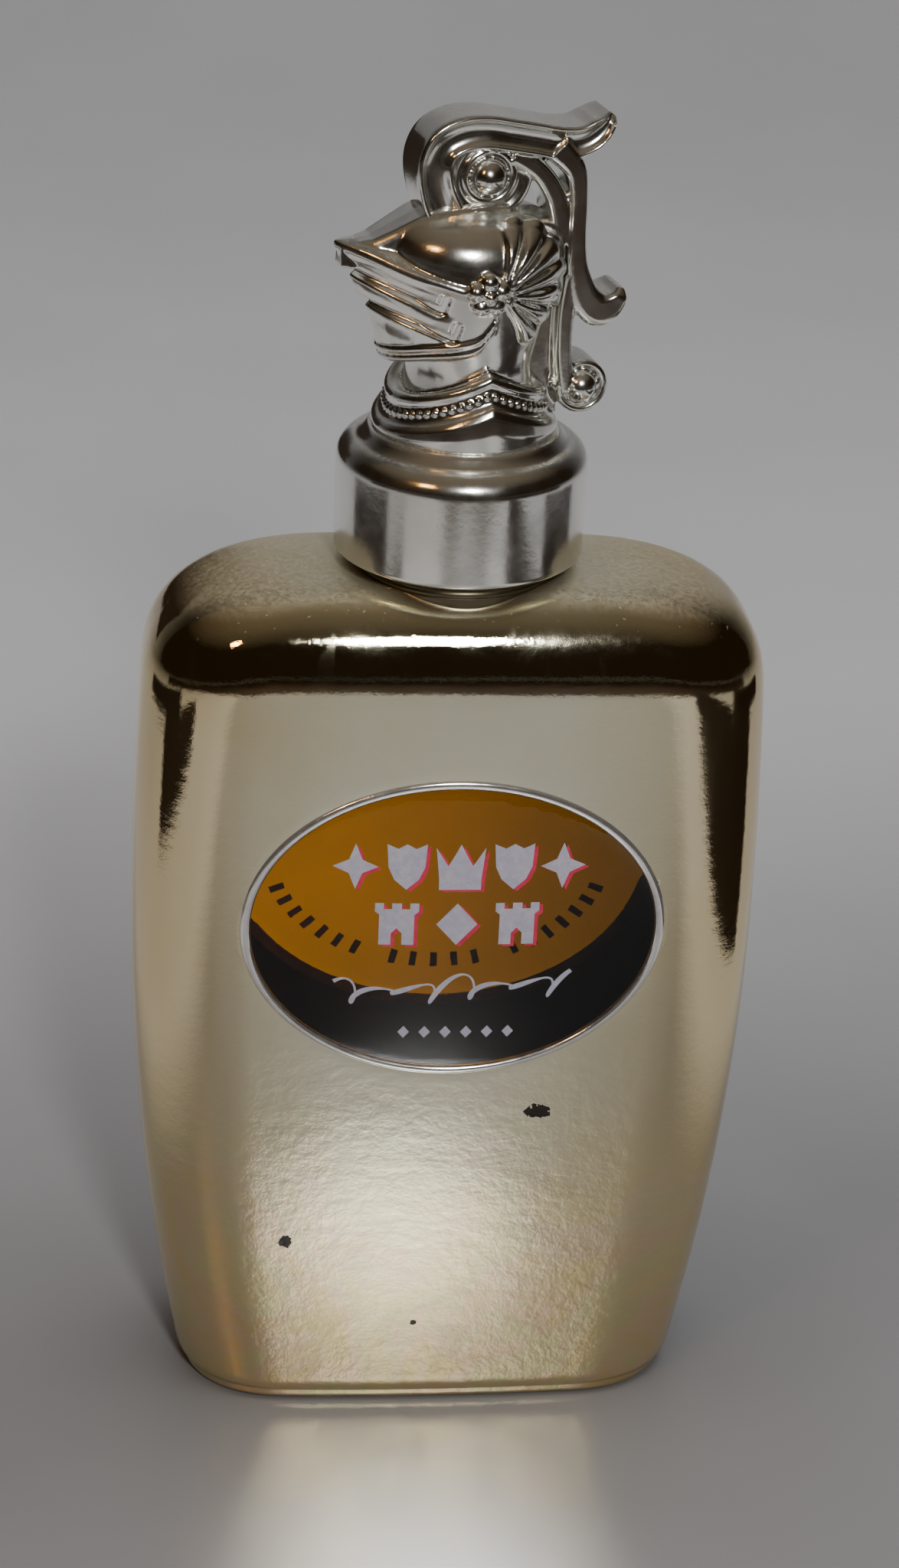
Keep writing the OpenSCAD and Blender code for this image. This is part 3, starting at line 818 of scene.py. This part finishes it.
def line_distance(u, z, a, b):
    """Distance from a stretch a-b, and the signed height above its line."""
    du, dz = b[0] - a[0], b[1] - a[1]
    length = hypot(du, dz)
    along = ((u - a[0]) * du + (z - a[1]) * dz) / length
    above = ((z - a[1]) * du - (u - a[0]) * dz) / length
    near = max(0.0, min(length, along))
    return hypot(along - near, above), above, along


def bell(x, half):
    """1 at 0, falling smoothly to 0 at half and beyond."""
    return (1 - min(1.0, abs(x) / half) ** 2) ** 2


def visor_relief(u, z, top, bottom):
    """How far the visor's skin stands out from its plain shape."""
    out = 0.0
    for a, b in SLOTS:
        away, above, along = line_distance(u, z, a, b)
        hook_away, _, _ = line_distance(u, z, a, (a[0] - 0.45, a[1] + 1.9))
        out -= 1.2 * bell(min(away, hook_away * 1.15), 0.9)
        if along > 0:
            fade = min(1.0, along / 3)
            out += fade * (0.35 * bell(above - 1.5, 1.8) - 0.12 * bell(above + 1.4, 1.8))
    out += 0.35 * bell(top - z - 0.8, 1.1)
    for height in (0.6, 1.9):
        out += 0.38 * bell(z - bottom - height, 0.75)
    return out


def visor():
    rings = []
    rows = 130
    for r in range(-3, rows + 4):
        v = min(1.0, max(0.0, r / rows))
        inward = 1.0 - 0.10 * (max(0, -r) + max(0, r - rows))
        ring = []
        for i in range(181):
            t = pi * (i / 180 - 0.5)
            c, s = max(0.0, cos(t)), sin(t)
            z = 175.0
            for _ in range(8):
                reach, half, square = knots(VISOR, z)
                u = reach * c ** (2 / square)
                y = half * copysign(abs(s) ** (2 / square), s)
                bottom, top = knots(VISOR_BOTTOM, u)[0], knots(VISOR_TOP, u)[0]
                z = bottom + v * (top - bottom)
            relief = visor_relief(u, z, top, bottom) if 0 < r < rows else 0.0
            scale = (1 + relief / max(6.0, hypot(u, y))) * inward
            lift = 0.10 * max(0, r - rows)
            ring.append(at(u * scale, y * scale, z + lift))
        ring += [at(-2.0, y, ring[-1][2]) for y in spread(8, -8, 8)]
        rings.append(ring)
    return loft(rings)


def ellipsoid(centre, radii, rows=14, columns=20):
    points = [(centre[0], centre[1], centre[2] - radii[2])]
    for i in range(1, rows):
        a = pi * i / rows - pi / 2
        for j in range(columns):
            b = 2 * pi * j / columns
            points.append((centre[0] + radii[0] * cos(a) * cos(b),
                           centre[1] + radii[1] * cos(a) * sin(b),
                           centre[2] + radii[2] * sin(a)))
    points.append((centre[0], centre[1], centre[2] + radii[2]))
    faces = [(0, 1 + (j + 1) % columns, 1 + j) for j in range(columns)]
    for i in range(rows - 2):
        for j in range(columns):
            k = (j + 1) % columns
            a, b = 1 + i * columns, 1 + (i + 1) * columns
            faces.append((a + j, a + k, b + k, b + j))
    top, last = len(points) - 1, 1 + (rows - 2) * columns
    faces += [(last + j, last + (j + 1) % columns, top) for j in range(columns)]
    return points, faces


FAN_CENTRE = (-0.9, 178.4)
FAN_FROM, FAN_TO, FLUTES = 92, 243, 7  # degrees from forward, over the top to the back
FAN_REACH = [
    (92, 9.6), (110, 10.6), (135, 11.4), (160, 11.2), (185, 10.4), (205, 9.8), (228, 9.8), (243, 9.2),
]


def fan(side):
    """A scalloped shell of seven ribs, laid on the skull behind the rosette, its rim standing free."""
    rings = []
    rows, columns = 34, 168
    for i in range(rows + 1):
        share = i / rows
        upper, lower = [], []
        for j in range(columns + 1):
            degrees = FAN_FROM + (FAN_TO - FAN_FROM) * j / columns
            across = (degrees - FAN_FROM) / (FAN_TO - FAN_FROM) * FLUTES % 1 - 0.5
            reach = knots(FAN_REACH, degrees)[0] * (0.92 + 0.08 * cos(pi * across) ** 0.7)
            r = 1.2 + (reach - 1.2) * share
            a = radians(degrees)
            u, z = FAN_CENTRE[0] + r * cos(a), FAN_CENTRE[1] + r * sin(a)
            y = max(6.6, skull_side(u, z))
            groove = bell(abs(across) - 0.5, 0.30) * bell(share - 0.5, 0.42) ** 0.5
            rib = cos(pi * across) * share
            height = 0.5 + 0.75 * share + 0.5 * rib - 1.15 * groove
            edge = min(1.0, (1 - share) * 10, (columns - j) / 3, j / 3)
            upper.append(at(u, side * (y + height * (0.3 + 0.7 * edge)), z))
            lower.append(at(u, side * (y - 1.8), z))
        rings.append(upper + lower[::-1])
    return loft(rings)


def rosette(side):
    """Five round petals about a button."""
    parts = []
    pivot_u, pivot_z = 1.2, 178.6
    y = skull_side(pivot_u, pivot_z) + 0.8
    for i in range(5):
        a = radians(72 * i + 90)
        petal = at(pivot_u + 1.85 * cos(a), side * y, pivot_z + 1.85 * sin(a))
        parts.append(ellipsoid(petal, (1.32, 1.2, 1.32)))
    parts.append(ellipsoid(at(pivot_u, side * (y - 0.2), pivot_z), (2.7, 0.9, 2.7)))
    parts.append(ellipsoid(at(pivot_u, side * (y + 0.5), pivot_z), (0.95, 1.1, 0.95)))
    return parts


def comb():
    """A flat band over the middle of the skull, from the beak to the foot of the plume."""
    path = [
        (19.2, 183.7), (17.0, 183.8), (14.9, 184.3), (11.8, 185.9), (8.8, 187.5), (6.5, 188.3), (2, 188.8),
        (-4, 188.8),
    ]
    widths = [0.7, 1.9, 2.7, 3.4, 3.9, 4.2, 4.3, 4.0]
    rings = []
    for (u, z), w in zip(path, widths):
        section = [(-w - 0.9, -3.5), (-w - 0.5, -0.9), (-w, -0.12), (-w + 0.5, 0), (0, 0.12)]
        section += [(-y, h) for y, h in section[-2::-1]]
        rings.append([at(u, y, z + h) for y, h in section])
    return loft(rings)


def gorget():
    """Two raised rims and the hollow between them, rising to a point at each side."""
    profile = [
        (6.0, 156.0, 0), (13.0, 156.0, 0), (13.25, 156.5, 0.5), (13.1, 157.2, 0.9), (12.6, 157.7, 1),
        (12.1, 157.9, 1), (11.75, 158.4, 1), (11.5, 159.3, 1), (11.3, 160.2, 1), (11.35, 160.6, 1),
        (11.5, 161.0, 1), (11.4, 161.6, 1), (11.0, 162.0, 1),
        (10.4, 162.1, 1), (9.6, 161.9, 1), (8.9, 161.6, 1), (6.0, 161.6, 1),
    ]
    rings = []
    for r, z, share in profile:
        ring = []
        for t, c, s in around(144):
            ring.append(at(r * c, r * 1.02 * s, z + share * gorget_rise(t)))
        rings.append(ring)
    return loft(rings)


def gorget_rise(t):
    from_side = abs(abs(degrees(atan2(sin(t), cos(t)))) - 90) / 90
    return 4.9 * (1 - from_side) ** 1.7


def beads():
    parts = []
    for i in range(60):
        t = 2 * pi * (i + 0.5) / 60
        c, s = cos(t), sin(t)
        parts.append(ellipsoid(at(11.5 * c, 11.7 * s, 159.3 + gorget_rise(t)), (0.44, 0.5, 0.5), 8, 10))
    return parts


def fused(name, parts, voxel, rounds=2):
    """Melts closed parts into one skin, as the mould has them, and softens it like plating."""
    lump = mesh_piece(name, *parts)
    face_outwards(lump)
    melt = lump.modifiers.new("melt", "REMESH")
    melt.mode, melt.voxel_size, melt.adaptivity = "VOXEL", voxel * MM, 0.0
    soften = lump.modifiers.new("soften", "SMOOTH")
    soften.factor, soften.iterations = 0.5, rounds
    skin = bpy.data.meshes.new_from_object(lump.evaluated_get(bpy.context.evaluated_depsgraph_get()))
    lump.modifiers.clear()
    lump.data = skin
    skin.transform(Matrix.Rotation(CAP_TURN, 4, "Z"))
    skin.shade_smooth()
    skin.materials.clear()
    skin.materials.append(silver.material)
    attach(lump, "cap")
    return lump


helmet = fused(
    "knight_helmet",
    [skull(), visor(), fan(-1), fan(1), comb(), gorget()] + rosette(-1) + rosette(1) + beads(),
    0.22,
)
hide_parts("helmet")


# ---------------------------------------------------------------------- plume
# One moulding: a broad crest that curls over a scroll with a ball, a long tail with a hook, and a
# lower tail that ends in a second scroll. Its faces are channelled between raised edges.

PLUME_HALF = 4.2
CREST = [
    (4.6, 186.5, 5.4), (6.3, 190.4, 5.2), (6.9, 194.4, 5.0), (5.6, 197.3, 5.0), (2.8, 198.7, 4.9),
    (-0.4, 198.9, 4.7), (-3.6, 198.4, 4.6), (-7.4, 197.7, 4.6), (-11.2, 197.0, 4.6), (-14.6, 197.3, 4.2),
    (-17.0, 198.8, 3.4), (-18.5, 200.7, 1.2),
]
TAIL = [
    (-10.6, 196.2, 4.0), (-13.3, 193.2, 3.2), (-14.1, 189.0, 2.6), (-14.2, 184.0, 2.6), (-14.4, 180.0, 3.0),
    (-15.0, 177.2, 3.6), (-16.0, 174.6, 4.4), (-17.8, 172.9, 4.8), (-19.6, 173.2, 4.1),
    (-20.9, 174.4, 2.7), (-21.5, 175.8, 1.0),
]
LEAF = [(-4.6, 195.6, 3.0), (-8.4, 193.0, 2.9), (-10.8, 189.6, 3.0), (-11.8, 186.2, 3.0), (-12.4, 182.4, 2.6)]
LOWER_TAIL = [
    (-14.0, 178.0, 2.4), (-13.4, 173.0, 2.4), (-13.3, 168.0, 2.3), (-13.6, 164.0, 2.4), (-14.2, 161.0, 2.4),
]
SCROLL, LOW_SCROLL = (-1.0, 192.6), (-16.2, 161.7)

# across the ribbon and out from its middle plane, as shares of the width and of the half thickness
CHANNELLED = [
    (0.5, 0.0), (0.5, 0.7), (0.49, 0.88), (0.46, 0.97), (0.41, 1.0), (0.36, 0.95), (0.28, 0.84),
    (0.15, 0.77), (0.0, 0.75),
]
EDGED = [
    (0.5, 0.0), (0.5, 0.74), (0.48, 0.86), (0.43, 0.94), (0.36, 0.98), (0.28, 1.0), (0.2, 1.0),
    (0.1, 1.0), (0.0, 1.0),
]


def ribbon(path, across, thick=1.0, steps=7):
    """A ribbon with that half section swept along (u, z, width) knots."""
    fine = []
    for i in range(len(path) - 1):
        a, b = path[max(0, i - 1)], path[i]
        c, d = path[i + 1], path[min(len(path) - 1, i + 2)]
        for j in range(steps + (i == len(path) - 2)):
            t = j / steps
            fine.append([0.5 * (2 * b[k] + (c[k] - a[k]) * t + (2 * a[k] - 5 * b[k] + 4 * c[k] - d[k]) * t * t
                                + (3 * b[k] - a[k] - 3 * c[k] + d[k]) * t**3) for k in range(3)])
    section = across + [(-n, y) for n, y in across[-2:0:-1]]
    section = section + [(-0.5, 0.0)] + [(n, -y) for n, y in section[:0:-1]]
    rings = []
    for i, (u, z, w) in enumerate(fine):
        au, az, _ = fine[max(0, i - 1)]
        bu, bz, _ = fine[min(len(fine) - 1, i + 1)]
        length = hypot(bu - au, bz - az)
        nu, nz = -(bz - az) / length, (bu - au) / length
        half = PLUME_HALF * thick * min(1.0, 0.55 + 0.2 * w)
        rings.append([at(u + nu * n * w, half * y, z + nz * n * w) for n, y in section])
    return loft(rings)


def side_lathe(centre, outline, columns=64):
    """A disc about an axis that runs from side to side, from (radius, half thickness) points."""
    rings = []
    profile = outline + [(r, -y) for r, y in outline[::-1]]
    for r, y in profile:
        r = max(r, 0.02)
        rings.append([at(centre[0] + r * c, y, centre[1] + r * s) for _, c, s in around(columns)])
    return loft(rings)


SCROLL_RINGS = [
    (0.0, 2.3), (2.5, 2.3), (2.75, 2.7), (3.1, 3.3), (3.5, 3.45), (3.9, 3.3), (4.25, 2.9), (4.6, 2.85),
    (5.0, 3.1), (5.5, 3.3), (6.0, 3.2), (6.3, 2.9), (6.45, 2.2),
]
LOW_RINGS = [(0.0, 2.4), (2.4, 2.4), (2.7, 3.0), (3.1, 3.6), (3.5, 3.7), (3.85, 3.4), (3.95, 2.4)]
plume_parts = [ribbon(CREST, CHANNELLED), ribbon(TAIL, EDGED)]
plume_parts += [ribbon(LEAF, EDGED, 0.85), ribbon(LOWER_TAIL, EDGED, 0.95)]
plume_parts += [side_lathe(SCROLL, SCROLL_RINGS), side_lathe(LOW_SCROLL, LOW_RINGS)]
for side in (-1, 1):
    plume_parts.append(ellipsoid(at(SCROLL[0], side * 3.0, SCROLL[1]), (2.6, 2.5, 2.6), 20, 32))
    plume_parts.append(ellipsoid(at(LOW_SCROLL[0], side * 3.0, LOW_SCROLL[1]), (2.3, 2.2, 2.3), 20, 32))
WEB = ((-8.0, 158.0), (-13.4, 157.2), (-13.6, 173.0), (-8.0, 173.0))
web = [[at(u, y, z) for u, z in WEB] for y in (-0.8, 0.8)]
plume_parts.append(loft(web))
plume = fused("scrolled_plume", plume_parts, 0.2)
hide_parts("plume")


# ------------------------------------------------------------ floor and light
# A sweep under and behind the bottle, painted dark round the bottle as painted shade and pale further off, with
# a wall carried round it that only the camera sees.
# A dark bench and dark screens that only the reflections see; the screen behind on the left is a painted wall
# shadow. Lights beside the camera and overhead, a small warm lamp and a narrow spot on the floor.

FLOOR_SIZE, SWEEP_AT, SWEEP_RADIUS = 2.4, 0.75, 0.5


def staged(name, points, faces, finish, smooth=False):
    mesh = bpy.data.meshes.new(name)
    mesh.from_pydata(points, [], faces)
    if smooth:
        mesh.shade_smooth()
    made = bpy.data.objects.new(name, mesh)
    bpy.context.scene.collection.objects.link(made)
    mesh.materials.append(finish.material)
    return made


paper = Finish("pale_floor", Roughness=0.3, Specular_IOR_Level=0.5)
mottle = paper.ramp(paper.noise(9, 3), 0.3, 0.7, 0.0, 0.08)
# Painted shade: the floor is painted dark round the bottle and turns pale behind it, to the sides and far in
# front.
to_back = paper.ramp(paper.axis("Y"), 0.01, 0.28, 0.0, 0.92)
to_front = paper.ramp(paper.axis("Y"), -0.22, -0.10, 0.25, 0.0)
to_sides = paper.ramp(paper.calc("ABSOLUTE", paper.axis("X"), 0.0), 0.085, 0.15, 0.0, 0.75)
out_of_painted_shade = paper.plus(mottle, paper.calc("MAXIMUM", to_front, paper.calc("MAXIMUM", to_back, to_sides)))
paper.set("Base Color", paper.blend(out_of_painted_shade, (0.165, 0.165, 0.17, 1), (0.46, 0.46, 0.475, 1)))
paper.bump(paper.noise(500, 3), 0.0001, 0.04)
sweep, sweep_faces = [], []
profile = [(-FLOOR_SIZE, 0.0), (SWEEP_AT, 0.0)]
profile += [(SWEEP_AT + SWEEP_RADIUS * sin(a), SWEEP_RADIUS * (1 - cos(a)))
            for a in [pi / 2 * i / 24 for i in range(1, 25)]]
profile.append((SWEEP_AT + SWEEP_RADIUS, 2.2))
for y, z in profile:
    sweep += [(-FLOOR_SIZE, y, z), (FLOOR_SIZE, y, z)]
for i in range(len(profile) - 1):
    sweep_faces.append((2 * i, 2 * i + 1, 2 * i + 3, 2 * i + 2))
staged("studio_sweep", sweep, sweep_faces, paper, smooth=True)

# the same wall carried round the other sides, for the camera only
wall = Finish("pale_wall", Roughness=0.6, Specular_IOR_Level=0.2)
wall.mottled(9, 3, 0.3, 0.7, (0.52, 0.52, 0.53, 1), (0.56, 0.56, 0.57, 1))
WALL_AT, WALL_HEIGHT = 0.95, 2.2
round_wall, round_faces = [], []
rise_up = [(WALL_AT + SWEEP_RADIUS * sin(a), SWEEP_RADIUS * (1 - cos(a)))
           for a in [pi / 2 * i / 16 for i in range(17)]] + [(WALL_AT + SWEEP_RADIUS, WALL_HEIGHT)]
turns = [radians(150 + 5 * i) for i in range(49)]
for a in turns:
    round_wall += [(r * cos(a), r * sin(a), z + 0.001) for r, z in rise_up]
row = len(rise_up)
for i in range(len(turns) - 1):
    for j in range(row - 1):
        round_faces.append((i * row + j, (i + 1) * row + j, (i + 1) * row + j + 1, i * row + j + 1))
surround = staged("studio_wall", round_wall, round_faces, wall, smooth=True)
surround.visible_glossy = surround.visible_diffuse = False
surround.visible_shadow = surround.visible_transmission = False

dark = Finish("dark_screen", Base_Color=(0.020, 0.011, 0.006, 1), Roughness=0.9)
# degrees round the bottle from +X, and how far off the bench begins there
BENCH_EDGE = [
    (178, 0.62), (215, 0.60), (240, 0.50), (256, 0.39), (270, 0.43), (285, 0.39), (300, 0.42), (325, 0.50),
    (362, 0.55),
]
BENCH_FAR, BENCH_HEIGHT = 1.5, 0.0006
ring, ring_faces = [], []
for i in range(185):
    a = radians(178 + i)
    for r in (knots(BENCH_EDGE, 178 + i)[0], BENCH_FAR):
        ring.append((r * cos(a), r * sin(a), BENCH_HEIGHT))
for i in range(184):
    ring_faces.append((2 * i, 2 * i + 1, 2 * i + 3, 2 * i + 2))
bench = staged("dark_bench", ring, ring_faces, dark)
SCREENS = {
    "left_screen": [(-0.25, -0.17, 0), (-0.24, 0.0, 0), (-0.24, 0.0, 0.036), (-0.25, -0.17, 0.036)],
    "left_upper_screen": [
        (-0.2, -0.067, 0.052), (-0.2, 0.09, 0.052), (-0.2, 0.09, 0.082), (-0.2, -0.067, 0.082)],
    "right_screen": [(0.20, -0.26, 0), (0.18, 0.03, 0), (0.18, 0.03, 0.062), (0.20, -0.26, 0.062)],
    # Painted shadow: a dark sheet behind on the left, seen only in reflections, stands in for the shadow on the
    # wall there.
    "painted_wall_shadow_screen": [(-0.24, 0.2, 0.11), (-0.05, 0.2, 0.11), (-0.05, 0.2, 0.24), (-0.24, 0.2, 0.24)],
    "right_upper_screen": [
        (0.2, -0.055, 0.052), (0.2, 0.079, 0.052), (0.2, 0.079, 0.082), (0.2, -0.055, 0.082)],
}
screens = [staged(name, corners, [(0, 1, 2, 3)], dark) for name, corners in SCREENS.items()]
for screen in [bench] + screens:
    screen.visible_camera = screen.visible_diffuse = False
    screen.visible_shadow = screen.visible_transmission = False

world = bpy.data.worlds.new("studio_room")
bpy.context.scene.world = world
world.use_nodes = True
nodes, links = world.node_tree.nodes, world.node_tree.links
direction = nodes.new("ShaderNodeSeparateXYZ")
links.new(nodes.new("ShaderNodeTexCoord").outputs["Generated"], direction.inputs[0])
ahead = nodes.new("ShaderNodeValToRGB")
links.new(direction.outputs["Z"], ahead.inputs[0])
ahead.color_ramp.elements[0].position, ahead.color_ramp.elements[0].color = 0.5, (0.014, 0.009, 0.005, 1)
ahead.color_ramp.elements[1].position, ahead.color_ramp.elements[1].color = 1.0, (0.15, 0.12, 0.085, 1)
behind = nodes.new("ShaderNodeMapRange")
behind.interpolation_type = "SMOOTHSTEP"
links.new(direction.outputs["Y"], behind.inputs[0])
behind.inputs[1].default_value, behind.inputs[2].default_value = 0.45, 0.90
room = nodes.new("ShaderNodeMix")
room.data_type = "RGBA"
links.new(behind.outputs[0], room.inputs[0])
links.new(ahead.outputs[0], room.inputs[6])
room.inputs[7].default_value = (0.45, 0.44, 0.43, 1)
links.new(room.outputs[2], nodes["Background"].inputs["Color"])
nodes["Background"].inputs["Strength"].default_value = 1.0


def area_light(name, place, aim, size, power, colour=(1, 1, 1)):
    lamp = bpy.data.lights.new(name, "AREA")
    lamp.shape, lamp.size, lamp.energy, lamp.color = "DISK", size, power, colour
    holder = bpy.data.objects.new(name, lamp)
    holder.location = place
    holder.rotation_euler = (Vector(aim) - Vector(place)).to_track_quat("-Z", "Y").to_euler()
    bpy.context.scene.collection.objects.link(holder)
    return holder


area_light("camera_light", (0.05, -0.62, 0.52), (0, 0, 0.09), 0.09, 3.6, (1.0, 0.98, 0.95))
overhead = area_light("overhead_light", (0.1, 0.1, 1.3), (0, 0, 0), 1.0, 15.0, (0.98, 0.99, 1.0))
overhead.visible_glossy = False
area_light("warm_lamp", (-0.42, -0.5, 0.62), (0, 0, 0.17), 0.08, 0.7, (1.0, 0.50, 0.16))
glow = bpy.data.lights.new("floor_glow", "SPOT")
glow.energy, glow.spot_size, glow.spot_blend, glow.shadow_soft_size = 85.0, radians(5.0), 1.0, 0.012
glow_holder = bpy.data.objects.new("floor_glow", glow)
glow_holder.location = (0.05, -0.45, 0.5)
glow_aim = Vector((-0.004, -0.068, 0)) - glow_holder.location
glow_holder.rotation_euler = glow_aim.to_track_quat("-Z", "Y").to_euler()
bpy.context.scene.collection.objects.link(glow_holder)


# --------------------------------------------------------------------- camera
# Looks down on the front from a little to the left, turned slightly so that the bottle leans right.

AZIMUTH, ELEVATION, ROLL = radians(6.5), radians(25.9), radians(2.76)
TARGET, DISTANCE = Vector((0.0005, 0, 0.099)), 0.498
level = cos(ELEVATION)
towards = Vector((-sin(AZIMUTH) * level, -cos(AZIMUTH) * level, sin(ELEVATION)))
right = (-towards).cross(Vector((0, 0, 1))).normalized()
up = right.cross(-towards)
rolled_right = cos(ROLL) * right + sin(ROLL) * up
rolled_up = cos(ROLL) * up - sin(ROLL) * right
lens = bpy.data.cameras.new("camera")
lens.sensor_fit, lens.sensor_height, lens.lens = "VERTICAL", 36.0, 76.5
lens.clip_start = 0.01
camera = bpy.data.objects.new("camera", lens)
turned = Matrix((rolled_right, rolled_up, towards)).transposed().to_4x4()
camera.matrix_world = Matrix.Translation(TARGET + towards * DISTANCE) @ turned
bpy.context.scene.collection.objects.link(camera)
bpy.context.scene.camera = camera
